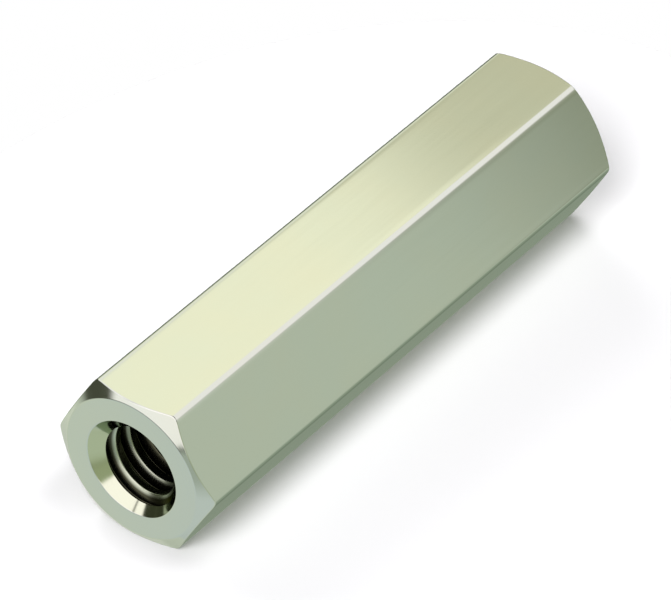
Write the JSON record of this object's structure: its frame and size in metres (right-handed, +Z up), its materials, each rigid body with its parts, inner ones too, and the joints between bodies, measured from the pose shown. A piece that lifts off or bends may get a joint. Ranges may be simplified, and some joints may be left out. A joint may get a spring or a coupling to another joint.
{
  "type": "hex standoff",
  "caption": "Hexagonal metal spacer, chamfered at both ends and tapped right through, which holds two panels or boards a set distance apart.",
  "frame": {"origin": "on the surface that the standoff lies on, under the middle of its length and width", "axes": "+X along the bore, +Z up, square to the flat that the standoff lies on, and +Y across it from long edge to long edge"},
  "size_m": [0.019, 0.0054, 0.0048],
  "materials": {
    "plated_steel": "gloss"
  },
  "bodies": {
    "root": {"standoff": "plated_steel"}
  },
  "joints": []
}
